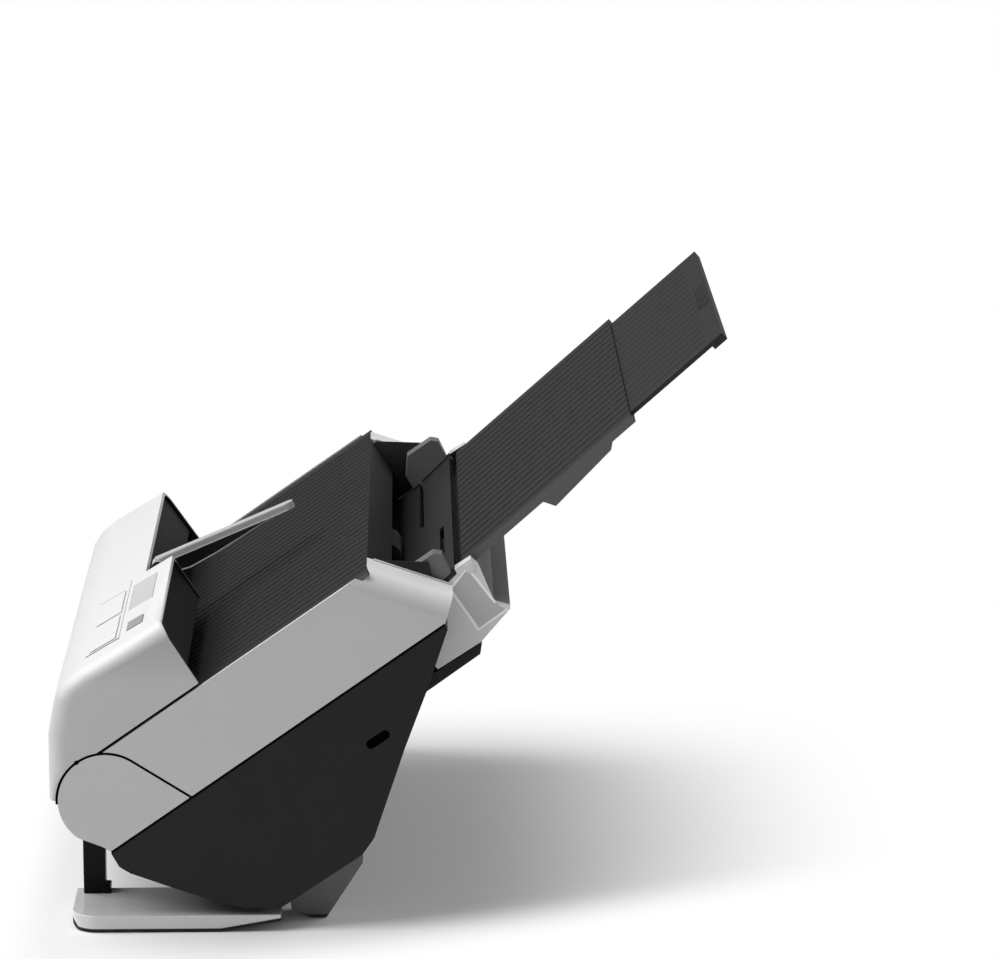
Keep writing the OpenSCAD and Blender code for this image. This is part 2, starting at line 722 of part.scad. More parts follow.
module upper_guide() {
    color([0.17, 0.17, 0.18]) leaning() difference() {
        across(-guide_half, guide_half) polygon(concat(
            arc(nose_r, 80, 262, 20),
            throat_line,
            [for (i = [3:-1:0]) throat_line[i] + [-guide_t / 2, guide_t]],
            arc(nose_r - guide_t, 262, 80, 20)));
        for (x = tyre_places) rod(x - tyre_w / 2 - window, x + tyre_w / 2 + window, 0, 0, tyre_r + window);
        for (y = [front_nip_y, rear_nip_y], x = tyre_places)
            block(x - tyre_w / 2 - window, x + tyre_w / 2 + window, y - pinch_r - window, y + pinch_r + window,
                up_bottom - over, up_bottom + guide_t + over);
        block(-glass_half - gap, glass_half + gap, scan_y - glass_d / 2 - gap, scan_y + glass_d / 2 + gap,
            up_bottom - over, up_bottom + guide_t + over);
        block(-retard_half - 5, retard_half + 5, feed_y - feed_r - window, lid_len, up_bottom - over, feed_r);
        both() block(throat_half, half_w, cheek_front - gap, lid_len, low_top, lid_low);
    }
}
upper_scan_low = up_bottom + guide_t + gap;
module upper_scan_unit() {
    color([0.2, 0.2, 0.21]) leaning() difference() {
        block(-scan_half, scan_half, scan_y - scan_d / 2, scan_y + scan_d / 2, upper_scan_low, upper_scan_low + scan_h);
        block(-glass_half + scan_d, glass_half - scan_d, scan_y - scan_d / 4, scan_y + scan_d / 4,
            upper_scan_low - over, upper_scan_low + scan_h / 2);
    }
}
module upper_glass() {
    color([0.6, 0.75, 0.78]) leaning()
        block(-glass_half, glass_half, scan_y - glass_d / 2, scan_y + glass_d / 2, up_bottom + window / 4, upper_scan_low);
}
module turn_roller() {
    color([0.16, 0.16, 0.17]) leaning() {
        rod(row_b, chassis_x + plate_t, 0, 0, turn_shaft_r);
        rod(row_b, row_b + belt_w, 0, 0, turn_pulley_r);
        for (x = tyre_places) rod(x - tyre_w / 2, x + tyre_w / 2, 0, 0, tyre_r);
    }
}
module pinch_roller(y) {
    leaning() {
        rod(-frame_x, frame_x, y, pinch_z, pinch_shaft_r);
        for (x = tyre_places) rod(x - tyre_w / 2, x + tyre_w / 2, y, pinch_z, pinch_r);
    }
}
module front_pinch_roller() color([0.5, 0.5, 0.52]) pinch_roller(front_nip_y);
module rear_pinch_roller() color([0.5, 0.5, 0.52]) pinch_roller(rear_nip_y);
module feed_roller() {
    color([0.15, 0.15, 0.16]) leaning() {
        rod(-frame_x, frame_x, feed_y, feed_z, pinch_shaft_r);
        rod(-retard_half, retard_half, feed_y, feed_z, feed_r);
    }
}
arm_t = 2;
arm_h = 5;
arm_x = retard_half + 0.5;
pickup_shaft_r = 2.5;
module pickup_arm() {
    color([0.22, 0.22, 0.23]) leaning() both() difference() {
        union() {
            block(arm_x, arm_x + arm_t, feed_y, pickup_y, feed_z - arm_h, feed_z + arm_h);
            rod(arm_x, arm_x + arm_t, feed_y, feed_z, arm_h);
            rod(arm_x, arm_x + arm_t, pickup_y, pickup_z, arm_h);
            block(0, arm_x + arm_t, feed_y + feed_r - 1, pickup_y - pickup_r + 1, feed_z + arm_h + 2, feed_z + arm_h + 4);
            block(arm_x, arm_x + arm_t, feed_y + feed_r - 1, pickup_y - pickup_r + 1, feed_z, feed_z + arm_h + 4);
        }
        rod(arm_x - over, arm_x + arm_t + over, feed_y, feed_z, pinch_shaft_r + run);
        rod(arm_x - over, arm_x + arm_t + over, pickup_y, pickup_z, pickup_shaft_r + run);
    }
}
module pickup_roller() {
    color([0.16, 0.16, 0.17]) leaning() {
        rod(-arm_x - arm_t, arm_x + arm_t, pickup_y, pickup_z, pickup_shaft_r);
        rod(-retard_half, retard_half, pickup_y, pickup_z, pickup_r);
    }
}

// Front cover with the operator panel
cover_a = asin(cover_floor / gap_r);
cover_rear = [cover_len, crest_rear_share * cover_h];
crest = [for (i = [len(crest_shares) - 1:-1:0]) [crest_shares[i][0] * cover_len, crest_shares[i][1] * cover_h]];
lip_out = arc(lip_r, front_a, front_a, 1)[0];
cover_outline = concat([[cover_len - 2, cover_floor], cover_rear], crest, [lip_out],
    arc(gap_r, front_a, cover_a, 20));
cover_skin = inset(cover_outline, wall);
skin_n = len(crest) + 1;
cavity = concat([[cover_len + over, 0], cover_skin[1] + [wall + over, 0]],
    [for (i = [2:skin_n]) cover_skin[i]], [arc(lip_r - wall, front_a + 4, front_a + 4, 1)[0]], [[0, 0]]);
plain_x = 28;
plain_y = cover_len - cover_step;
panel_from = crest[0];
panel_a = atan2(cover_rear[1] - panel_from[1], cover_rear[0] - panel_from[0]);
// Frame on the operator panel: x across, y up the panel, z out of it
module panel_frame() {
    translate([0, panel_from[0], panel_from[1]]) rotate([panel_a, 0, 0]) children();
}
start_at = [146, 164, 32, 43];
stop_at = [112, 166, 6, 24];
menu_at = [52, 105, 6, 24];
window_at = [50, 112, 30, 47];
key_up = 0.8;
key_low = 4.7;
key_travel = 0.8;
board_gap = 1;
panel_board_z = -key_low - board_gap;
panel_posts = [[44, 4], [170, 4], [44, 50], [170, 50]];
module key_at(at, grow, z0, z1) {
    panel_frame() block(at[0] - grow, at[1] + grow, at[2] - grow, at[3] + grow, z0, z1);
}
module front_cover() {
    color([0.95, 0.95, 0.95]) leaning() difference() {
        union() {
            difference() {
                across(-half_w, half_w) polygon(cover_outline);
                across(-side_in, side_in) polygon(cavity);
            }
            across(plain_x, plain_x + wall) intersection() {
                polygon(cover_outline);
                translate([plain_y - wall, cover_floor + rear_panel_up]) square(cover_h);
            }
            panel_frame() for (p = panel_posts)
                translate([p[0], p[1], panel_board_z]) cylinder(r = post_r, h = -panel_board_z - wall / 2);
        }
        block(-half_w - over, plain_x, plain_y, cover_len + over, 0, cover_h + over);
        for (k = [start_at, stop_at, menu_at, window_at]) key_at(k, gap, -wall * 2, over);
    }
}
rear_panel_up = 11;
rear_panel_t = 2;
rear_panel_in = 2.5;
panel_low = cover_floor + rear_panel_up;
panel_floor_y = 60;
skin_drop = wall + 1.6;
hinge_y_arm = plain_y + 7;
hinge_z_arm = cover_h - 5.5;
arm_lug_r = 4;
arm_pin_r = 2.5;
lug_x0 = 8;
lug_x1 = plain_x - gap;
lug_w = 3.4;
module cover_rear_panel() {
    color([0.13, 0.13, 0.135]) leaning() difference() {
        union() {
            block(plain_x + wall + gap, side_in - gap, cover_len - rear_panel_in - rear_panel_t,
                cover_len - rear_panel_in, panel_low, cover_rear[1] - skin_drop);
            block(-side_in + gap, plain_x - gap, plain_y - rear_panel_in - rear_panel_t, plain_y - rear_panel_in,
                panel_low, cover_rear[1] - wall - gap);
            block(plain_x + wall + gap, side_in - gap, panel_floor_y, cover_len - rear_panel_in,
                panel_low, panel_low + rear_panel_t);
            block(-side_in + gap, plain_x - gap, panel_floor_y, plain_y - rear_panel_in,
                panel_low, panel_low + rear_panel_t);
            block(-side_in + gap, side_in - gap, panel_floor_y, plain_y - wall - gap,
                panel_low, panel_low + rear_panel_t);
            for (x = [lug_x0, lug_x1 - lug_w]) {
                rod(x, x + lug_w, hinge_y_arm, hinge_z_arm, arm_lug_r);
                block(x, x + lug_w, plain_y - rear_panel_in - rear_panel_t, hinge_y_arm,
                    hinge_z_arm - 2 * arm_lug_r, hinge_z_arm - arm_lug_r / 2);
                block(x, x + lug_w, hinge_y_arm - arm_lug_r, hinge_y_arm, hinge_z_arm - 2 * arm_lug_r, hinge_z_arm);
            }
        }
        for (x = [lug_x0, lug_x1 - lug_w]) rod(x - over, x + lug_w + over, hinge_y_arm, hinge_z_arm, arm_pin_r + run);
    }
}
guide_r = path_low + guide_t + gap;
eject_pinch_r = 5;
eject_shaft_r = 2;
eject_a = 80;
eject_at = arc(tyre_r + nip_gap + eject_pinch_r, eject_a, eject_a, 1)[0];
guide_y = 13;
bracket_w = 3;
module cover_guide() {
    color([0.14, 0.14, 0.145]) leaning() difference() {
        union() {
            across(-side_in + gap, side_in - gap)
                polygon([[guide_y, cover_floor + 3], [panel_floor_y - gap, panel_low],
                    [panel_floor_y - gap, panel_low + rear_panel_t], [guide_y, cover_floor + 3 + guide_t]]);
            across(-inner_x, inner_x) polygon(concat(arc(guide_r + guide_t, 100, front_a - 2, 10),
                arc(guide_r, front_a - 2, 100, 10)));
            both() across(chassis_x - bracket_w - gap, chassis_x - gap) polygon([
                [eject_at[0] - 12, cover_floor + 1], [eject_at[0] + 12, cover_floor + 1.5],
                [eject_at[0] + 14, cover_floor + 9], [eject_at[0] - 8, cover_floor + 9]]);
            both() across(inner_x - bracket_w, chassis_x - gap) polygon(concat(
                arc(guide_r + guide_t + 2, 92, 112, 4), arc(guide_r + guide_t / 2, 112, 92, 4)));
        }
        rod(-chassis_x - over, chassis_x + over, eject_at[0], eject_at[1], eject_shaft_r + run);
        for (x = tyre_places) rod(x - tyre_w / 2 - window, x + tyre_w / 2 + window, eject_at[0], eject_at[1],
            eject_pinch_r + window);
    }
}
module eject_pinch_roller() {
    color([0.5, 0.5, 0.52]) leaning() {
        rod(-chassis_x + gap, chassis_x - gap, eject_at[0], eject_at[1], eject_shaft_r);
        for (x = tyre_places) rod(x - tyre_w / 2, x + tyre_w / 2, eject_at[0], eject_at[1], eject_pinch_r);
    }
}
module panel_board() {
    color([0.1, 0.35, 0.18]) leaning()
        key_at([panel_posts[0][0] - 3, panel_posts[1][0] + 3, 1, panel_posts[2][1] + 2], 0,
            panel_board_z - board_t, panel_board_z);
}
module display_window() {
    color([0.5, 0.52, 0.5]) leaning() {
        key_at(window_at, 0, -wall, key_up / 4);
        key_at(window_at, -key_travel, panel_board_z, -wall);
    }
}
module start_key() color([0.3, 0.3, 0.31]) leaning() key_at(start_at, 0, -key_low, key_up);
module stop_key() color([0.93, 0.93, 0.93]) leaning() key_at(stop_at, 0, -key_low, key_up);
module menu_key() color([0.93, 0.93, 0.93]) leaning() key_at(menu_at, 0, -key_low, key_up);

// Swinging guide over the eject tray
arm_len = 92;
arm_fall = 11.7;
arm_flange_x0 = lug_x0 + lug_w + gap;
arm_flange_x1 = lug_x1 - lug_w - gap;
arm_flange_t = 4.5;
arm_flange_z = 5;
arm_web_shares = [[0.08, -1.6], [0.2, -1.9], [0.4, -1.5], [0.6, -0.9], [0.8, -0.25]];
arm_flange_w = 7.5;
arm_web_t = 2;
module eject_guide() {
    color([0.6, 0.6, 0.61]) leaning() translate([0, hinge_y_arm, hinge_z_arm]) {
        rod(arm_flange_x0, arm_flange_x1, 0, 0, arm_lug_r);
        rod(lug_x0, lug_x1, 0, 0, arm_pin_r);
        rotate([-arm_fall, 0, 0]) {
            arm_mid = (arm_flange_x0 + arm_flange_x1) / 2;
            block(arm_mid - arm_flange_w / 2, arm_mid + arm_flange_w / 2, 0, arm_len, arm_flange_z - arm_flange_t, arm_flange_z);
            translate([arm_mid, arm_len, arm_flange_z - arm_flange_t]) cylinder(r = arm_flange_w / 2, h = arm_flange_t);
            across(arm_mid - arm_web_t / 2, arm_mid + arm_web_t / 2) polygon(concat(
                [[arm_len, arm_flange_z - arm_flange_t], [0, arm_flange_z - arm_flange_t], [0, -arm_lug_r / 2]],
                [for (p = arm_web_shares) [p[0] * arm_len, p[1] * arm_flange_z]]));
        }
    }
}

// Feed tray and its extension
ext_t = 3;
ext_in = 12;
ext_margin = 14;
ext_low = tray_top - tray_t + 1.2;
pocket_y = 58;
tray_start = -3;
tray_rib_n = 9;
tray_rib_w = 2;
tray_rib_h = 0.8;
pad_shares = [[0.44, -0.2], [0.47, -1.4], [0.83, -0.75], [0.86, -0.2]];
module tray_frame() {
    translate([0, tray_y, tray_z]) rotate([tray_rise, 0, 0]) children();
}
tray_half = tray_w / 2;
module feed_tray() {
    color([0.13, 0.13, 0.135]) leaning() tray_frame() {
        difference() {
            union() {
                block(-tray_half, tray_half, tray_start, tray_len, tray_top - tray_t, tray_top - tray_rib_h);
                for (i = [-tray_rib_n:tray_rib_n]) block(i * tray_half / (tray_rib_n + 1) - tray_rib_w / 2,
                    i * tray_half / (tray_rib_n + 1) + tray_rib_w / 2, tray_start, tray_len,
                    tray_top - tray_t, tray_top);
                across(-tray_half, tray_half) polygon([for (p = pad_shares) [p[0] * tray_len,
                    (tray_top - tray_t) + (p[1] + 0.2) * tray_t]]);
                block(-tray_half, tray_half, pad_shares[0][0] * tray_len, pad_shares[3][0] * tray_len,
                    tray_top - tray_t - over / 4, tray_top - tray_t + over / 4);
            }
            block(-tray_half + ext_margin - gap, tray_half - ext_margin + gap, pocket_y, tray_len + over,
                ext_low - gap, ext_low + ext_t + gap);
        }
        both() rod(tray_half - over, ear_x + ear_w, 0, 0, pivot_r);
    }
}
end_lip = 10;
end_drop = 2.5;
module tray_extension() {
    color([0.11, 0.11, 0.115]) leaning() tray_frame() {
        block(-tray_half + ext_margin, tray_half - ext_margin, tray_len - ext_in, tray_len + ext_len, ext_low,
            ext_low + ext_t);
        block(-tray_half + ext_margin, tray_half - ext_margin, tray_len + ext_len - end_lip, tray_len + ext_len,
            ext_low - end_drop, ext_low);
    }
}

// Paper guides on the feed bed, joined by racks and a pinion under it
side_guide_x0 = tray_w / 2 + 0.5;
side_guide_t = 11;
side_guide_y0 = 217;
side_guide_y1 = bed_y2 - 2;
rack_gap = 14;
rack_w = 3;
rack_mid = (side_guide_y0 + side_guide_y1) / 2;
rack_z0 = bed_z1 - 1.5;
rack_h = 3;
rack_tail = 20;
slot_x0 = 24;
pinion_pin_r = 2;
function bed_at(y) = bed_z1 + (bed_z2 - bed_z1) * (y - bed_y1) / (bed_y2 - bed_y1);
side_guide = [
    [side_guide_y0, bed_at(side_guide_y0) + gap], [side_guide_y1, bed_at(side_guide_y1) + gap],
    [side_guide_y1 + 2, bed_at(side_guide_y1) + 13], [side_guide_y1 - 2, bed_at(side_guide_y1) + 17],
    [side_guide_y0 + 10, bed_at(side_guide_y1) + 17], [side_guide_y0 + 1, bed_at(side_guide_y1) + 6]
];
module paper_guide(s) {
    neck_y = rack_mid + s * (rack_gap / 2 + rack_w / 2);
    leaning() {
        across(side_guide_x0, side_guide_x0 + side_guide_t) polygon(side_guide);
        block(side_guide_x0, side_guide_x0 + side_guide_t / 2, neck_y - rack_w / 2, neck_y + rack_w / 2,
            rack_z0, bed_at(neck_y) + rack_h);
        block(-rack_tail, side_guide_x0 + side_guide_t / 2, neck_y - rack_w / 2, neck_y + rack_w / 2,
            rack_z0, rack_z0 + rack_h);
    }
}
module right_paper_guide() color([0.29, 0.29, 0.31]) paper_guide(1);
module left_paper_guide() color([0.29, 0.29, 0.31]) mirror([1, 0, 0]) paper_guide(-1);
pinion_r = rack_gap / 2 - gap;
module guide_pinion() {
    color([0.8, 0.8, 0.78]) leaning() difference() {
        translate([0, rack_mid, rack_z0]) cylinder(r = pinion_r, h = rack_h);
        translate([0, rack_mid, rack_z0 - over]) cylinder(r = pinion_pin_r + run, h = rack_h + 2 * over);
    }
}

base_shell();
right_side_cover();
left_side_cover();
right_hinge_cap();
left_hinge_cap();
right_chassis_plate();
left_chassis_plate();
chassis_stays();
hinge_pins();
shaft_bushes();
lower_guide();
lower_scan_unit();
lower_glass();
feed_bed();
rear_housing();
scan_motor();
main_board();
power_supply();
mains_inlet();
data_socket();
front_legs();
foot_plates();
foot_soles();
rear_feet();
drive_belts();
stay_screws();
power_switch();
front_drive_roller();
rear_drive_roller();
motor_pulley();
retard_roller();
right_upper_cover();
left_upper_cover();
eject_tray();
upper_frame();
upper_guide();
upper_scan_unit();
upper_glass();
turn_roller();
front_pinch_roller();
rear_pinch_roller();
feed_roller();
pickup_arm();
pickup_roller();
release_button();
front_cover();
cover_rear_panel();
cover_guide();
panel_board();
display_window();
eject_pinch_roller();
start_key();
stop_key();
menu_key();
eject_guide();
feed_tray();
tray_extension();
right_paper_guide();
left_paper_guide();
guide_pinion();
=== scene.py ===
import json
import math

import bmesh
import bpy
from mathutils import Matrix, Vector


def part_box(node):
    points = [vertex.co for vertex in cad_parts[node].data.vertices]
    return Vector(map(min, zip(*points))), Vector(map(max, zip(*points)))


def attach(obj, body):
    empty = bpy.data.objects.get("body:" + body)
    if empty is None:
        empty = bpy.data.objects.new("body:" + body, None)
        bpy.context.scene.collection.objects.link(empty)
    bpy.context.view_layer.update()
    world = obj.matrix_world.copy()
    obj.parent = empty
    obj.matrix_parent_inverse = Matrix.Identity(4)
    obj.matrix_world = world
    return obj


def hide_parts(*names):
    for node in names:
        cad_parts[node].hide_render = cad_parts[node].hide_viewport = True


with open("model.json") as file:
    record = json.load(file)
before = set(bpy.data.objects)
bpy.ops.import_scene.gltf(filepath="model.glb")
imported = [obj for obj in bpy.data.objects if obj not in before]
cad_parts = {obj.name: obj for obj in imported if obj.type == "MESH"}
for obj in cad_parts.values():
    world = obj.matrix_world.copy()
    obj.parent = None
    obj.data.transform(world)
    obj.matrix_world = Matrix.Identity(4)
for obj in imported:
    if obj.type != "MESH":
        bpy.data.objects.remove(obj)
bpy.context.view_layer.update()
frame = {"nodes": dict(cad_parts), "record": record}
nodes = frame["nodes"]

MM = 0.001
X, Y, Z = 0, 1, 2


# ---------------------------------------------------------------- shader maths
class Field:
    """A socket of a finish. Arithmetic on it adds Math nodes."""

    def __init__(self, finish, socket):
        self.finish, self.socket = finish, socket

    def maths(self, operation, *others):
        return self.finish.add("Math", {"operation": operation}, self, *others)

    def __add__(self, other): return self.maths("ADD", other)
    def __radd__(self, other): return self.maths("ADD", other)
    def __sub__(self, other): return self.maths("SUBTRACT", other)
    def __mul__(self, other): return self.maths("MULTIPLY", other)
    def __rmul__(self, other): return self.maths("MULTIPLY", other)
    def __gt__(self, other): return self.maths("GREATER_THAN", other)
    def __lt__(self, other): return self.maths("LESS_THAN", other)
    def __abs__(self): return self.maths("ABSOLUTE")

    def __rsub__(self, other):
        return self.finish.add("Math", {"operation": "SUBTRACT"}, other, self)

    def most(self, other):
        return self.maths("MAXIMUM", other)

    def between(self, low, high):
        """0 below low, 1 above high, and a straight rise from one to the other."""
        return self.finish.add("MapRange", {"clamp": True}, self, low, high)

    def smooth(self, low, high, to_low=0.0, to_high=1.0):
        """A soft step from to_low at low to to_high at high."""
        return self.finish.add("MapRange", {"interpolation_type": "SMOOTHSTEP"},
                               self, low, high, to_low, to_high)


class Finish:
    """One material. add() makes a node, set() feeds the surface shader, constants go on sockets."""

    def __init__(self, name, colour, rough, metal=0.0, **constants):
        self.material = bpy.data.materials.new(name)
        self.material.use_nodes = True
        self.tree = self.material.node_tree
        self.shader = self.tree.nodes["Principled BSDF"]
        self.material.diffuse_color = (*colour, 1.0)
        self.set("Base Color", colour)
        self.set("Roughness", rough)
        self.set("Metallic", metal)
        for socket, value in constants.items():
            self.set(socket.replace("_", " "), value)

    def add(self, kind, settings, *values, out=0, **named):
        """A node of that kind. Its sockets take values or fields, by number or by name."""
        node = self.tree.nodes.new("ShaderNode" + kind)
        for setting, value in settings.items():
            setattr(node, setting, value)
        for key, value in list(enumerate(values)) + list(named.items()):
            self.feed(node.inputs[key.replace("_", " ") if isinstance(key, str) else key], value)
        return Field(self, node.outputs[out])

    def feed(self, socket, value):
        if isinstance(value, Field):
            self.tree.links.new(value.socket, socket)
        elif socket.type == "RGBA" and len(value) == 3:
            socket.default_value = (*value, 1.0)
        else:
            socket.default_value = value

    def set(self, name, value):
        self.feed(self.shader.inputs[name], value)

    def place(self):
        """Position on the object in metres."""
        return self.add("TexCoord", {}, out=3)

    def at(self, axis):
        """Position on the object along one axis, in metres."""
        return self.add("SeparateXYZ", {}, self.place(), out=axis)

    def facing(self, axis):
        """How far the surface faces along one axis, from -1 to 1."""
        return self.add("SeparateXYZ", {}, self.add("NewGeometry", {}, out=1), out=axis)

    def scaled(self, sx, sy, sz):
        return self.add("VectorMath", {"operation": "MULTIPLY"}, self.place(), (sx, sy, sz))

    def noise(self, size, detail=2.0, rough=0.5, stretch=(1.0, 1.0, 1.0)):
        """Noise of about that size in metres, from 0 to 1."""
        where = self.scaled(*(s / size for s in stretch))
        return self.add("TexNoise", {}, Vector=where, Scale=1.0, Detail=detail, Roughness=rough)

    def mix(self, amount, first, second):
        node = self.tree.nodes.new("ShaderNodeMix")
        node.data_type = "RGBA"
        self.feed(node.inputs[0], amount)
        self.feed(node.inputs[6], first)
        self.feed(node.inputs[7], second)
        return Field(self, node.outputs[2])

    def bump(self, height, depth):
        """Height from 0 to 1, standing for that depth in metres."""
        self.set("Normal", self.add("Bump", {}, Strength=1.0, Distance=depth, Height=height))


def shade(colour, share):
    return tuple(min(1.0, c * share) for c in colour)


def upward(finish):
    """1 where the surface faces up, 0 where it is upright or faces down."""
    return finish.facing(Z).between(0.25, 1.0)


CLOUD, SHEEN, DUST = 35 * MM, 12 * MM, 1.6 * MM


def moulded(name, colour, rough, grain=0.45 * MM, depth=0.02 * MM, dust=0.05, top=None, part=None,
            cloudy=0.045, **constants):
    """Moulded plastic: fine spark-eroded grain, slow uneven sheen, a little dust on top.

    grain and depth are the size and depth of the surface grain. top is a paler colour painted on
    what faces up, painted light from above. part is a mask function and the second colour that is
    painted where the mask is 1.
    """
    finish = Finish(name, colour, rough, **constants)
    cloud = finish.noise(CLOUD, 3.0)
    fine = finish.noise(grain, 2.0, 0.6)
    specks = finish.noise(DUST, 1.0).between(0.66, 0.74) * upward(finish)
    tone = finish.mix(cloud.between(0.3, 0.7), shade(colour, 1 - cloudy), shade(colour, 1 + cloudy))
    # Painted light: faces that turn up take the paler top colour
    if top:
        tone = finish.mix(upward(finish), tone, top)
    if part:
        mask, second = part
        tone = finish.mix(mask(finish), tone, second)
    pale = tuple(0.5 * c + 0.35 for c in colour)
    finish.set("Base Color", finish.mix(specks * dust, tone, pale))
    sheen = finish.noise(SHEEN, 2.0)
    finish.set("Roughness", (fine - 0.5) * 0.12 + (sheen - 0.5) * 0.1 + specks * 0.15 + rough)
    finish.bump(fine, depth)
    return finish.material


def pressed_metal(name, colour, rough):
    """Plated sheet: fine drawn lines along X, faint cloudiness."""
    finish = Finish(name, colour, rough, 1.0)
    drawn = finish.noise(0.5 * MM, 2.0, 0.6, stretch=(0.02, 1.0, 1.0))
    cloud = finish.noise(20 * MM, 3.0)
    tone = finish.mix(cloud, shade(colour, 0.86), shade(colour, 1.06))
    finish.set("Base Color", finish.mix(drawn * 0.4, tone, shade(colour, 0.7)))
    finish.set("Roughness", (drawn - 0.5) * 0.2 + (cloud - 0.5) * 0.15 + rough)
    finish.bump(drawn, 0.01 * MM)
    return finish.material


def rubber(name, colour, rough):
    """Ground rubber: fine matt pitting and a slightly greyed surface."""
    finish = Finish(name, colour, rough, Specular_IOR_Level=0.3)
    pits = finish.noise(0.8 * MM, 3.0, 0.7)
    worn = finish.noise(10 * MM, 3.0).between(0.45, 0.7)
    greyed = tuple(0.8 * c + 0.05 for c in colour)
    finish.set("Base Color", finish.mix(worn * 0.35, colour, greyed))
    finish.set("Roughness", (pits - 0.5) * 0.15 + rough)
    finish.bump(pits, 0.06 * MM)
    return finish.material


def clear_glass(name):
    """The scan windows: smooth, over a dark inside, with faint smears."""
    finish = Finish(name, (0.75, 0.82, 0.84), 0.03)
    smear = finish.noise(30 * MM, 3.0)
    finish.set("Roughness", smear.between(0.4, 0.8) * 0.08 + 0.03)
    finish.set("Base Color", finish.mix(smear, (0.09, 0.11, 0.12), (0.13, 0.15, 0.16)))
    return finish.material


def circuit_board(name):
    """Solder mask with paler copper tracks under it."""
    mask_green, track_green = (0.012, 0.09, 0.03), (0.05, 0.2, 0.07)
    tracks_per_metre = 180
    finish = Finish(name, mask_green, 0.35)
    tracks = finish.add("TexBrick", {"offset": 0.5}, Vector=finish.scaled(*[tracks_per_metre] * 3),
                        Color1=(0, 0, 0), Color2=(0, 0, 0), Mortar=(1, 1, 1), Scale=1.0,
                        Mortar_Size=0.06)
    finish.set("Base Color", finish.mix(tracks, mask_green, track_green))
    cloud = finish.noise(10 * MM)
    finish.set("Roughness", cloud * 0.15 + 0.28)
    finish.bump(tracks, 0.05 * MM)
    return finish.material


# ---------------------------------------------------------------- masks
ARM_X, ARM_WEB = 17.85, 3.2
DARK_BAND_TOP = 2.2
BETWEEN_EARS = 152.2
STEP_X, COVER_WALL = 28.0, 2.5
STEP_TOP = 190.0


def faces_sideways(finish):
    """1 where the surface faces along X."""
    return abs(finish.facing(X)).between(0.7, 0.9)


def arm_web(finish):
    """1 on the two broad faces of the eject guide's thin web."""
    return faces_sideways(finish) * (abs(finish.at(X) - ARM_X * MM) < ARM_WEB / 2 * MM)


def near_floor(finish):
    """1 on the bottom two millimetres, which are painted near black."""
    return finish.at(Z) < DARK_BAND_TOP * MM


def painted_shade_under_tray(finish):
    """Painted shade: 1 on the inner faces of the rear housing, in the feed tray's shade, fading out
    downwards.
    """
    inner = (abs(finish.at(X)) < BETWEEN_EARS * MM) * (finish.facing(Z) > -0.1)
    return inner * finish.at(Z).smooth(170 * MM, 205 * MM)


def painted_shade_inside_cover(finish):
    """Painted shade: 1 on the inner faces of the front cover's end walls and of the wall between
    its halves.
    """
    across, sideways = finish.at(X), finish.facing(X)
    step = (abs(across - (STEP_X + COVER_WALL) * MM) < 0.3 * MM) * (sideways > 0.9)
    step_edge = ((abs(across - (STEP_X + COVER_WALL / 2) * MM) < 1.4 * MM)
                 * (finish.facing(Y) > 0.5) * (finish.at(Z) < STEP_TOP * MM))
    left_end = (across < -186 * MM) * (sideways > 0.3)
    right_end = (across > 186 * MM) * (sideways < -0.3)
    return step.most(step_edge).most(left_end).most(right_end)


# ---------------------------------------------------------------- finishes
def grey(level):
    return (level, level, level)


FINISHES = {
    "black_plastic": moulded("black_plastic", (0.0085, 0.0085, 0.009), 0.5, dust=0.02,
                             Specular_IOR_Level=0.25),
    "tray_black": moulded("tray_black", (0.019, 0.019, 0.02), 0.46, dust=0.02,
                          Specular_IOR_Level=0.3),
    # Painted light: light_grey and white_plastic are paler on faces that turn up
    "light_grey": moulded("light_grey", grey(0.53), 0.42, depth=0.01 * MM, dust=0.02,
                          top=grey(0.76), cloudy=0.012),
    "white_plastic": moulded("white_plastic", grey(0.5), 0.4, depth=0.01 * MM, dust=0.02,
                             top=grey(0.82), cloudy=0.01),
    # Painted shade: housing_grey is near black on the inner faces behind the feed tray
    "housing_grey": moulded("housing_grey", grey(0.7), 0.4, depth=0.012 * MM,
                            part=(painted_shade_under_tray, grey(0.012))),
    "guide_grey": moulded("guide_grey", (0.15, 0.15, 0.158), 0.45, Specular_IOR_Level=0.35),
    "inner_plastic": moulded("inner_plastic", (0.012, 0.012, 0.013), 0.55, Specular_IOR_Level=0.25),
    "foot_gloss": moulded("foot_gloss", grey(0.6), 0.12, depth=0.002 * MM, dust=0.04,
                          Coat_Weight=0.6, Coat_Roughness=0.03),
    "post_black": moulded("post_black", (0.0025, 0.0025, 0.003), 0.3, depth=0.004 * MM, dust=0.03,
                          Specular_IOR_Level=0.12),
    "sole_rubber": rubber("sole_rubber", grey(0.01), 0.75),
    "roller_rubber": rubber("roller_rubber", (0.03, 0.03, 0.032), 0.7),
    "pinch_grey": moulded("pinch_grey", (0.3, 0.3, 0.31), 0.42),
    "steel": pressed_metal("steel", (0.62, 0.63, 0.64), 0.32),
    "arm_silver": moulded("arm_silver", (0.52, 0.52, 0.53), 0.3, depth=0.004 * MM, dust=0.03,
                          part=(arm_web, grey(0.012))),
    "glass": clear_glass("glass"),
    "display": moulded("display", grey(0.68), 0.12, depth=0.001 * MM, dust=0.02),
    "board_green": circuit_board("board_green"),
}
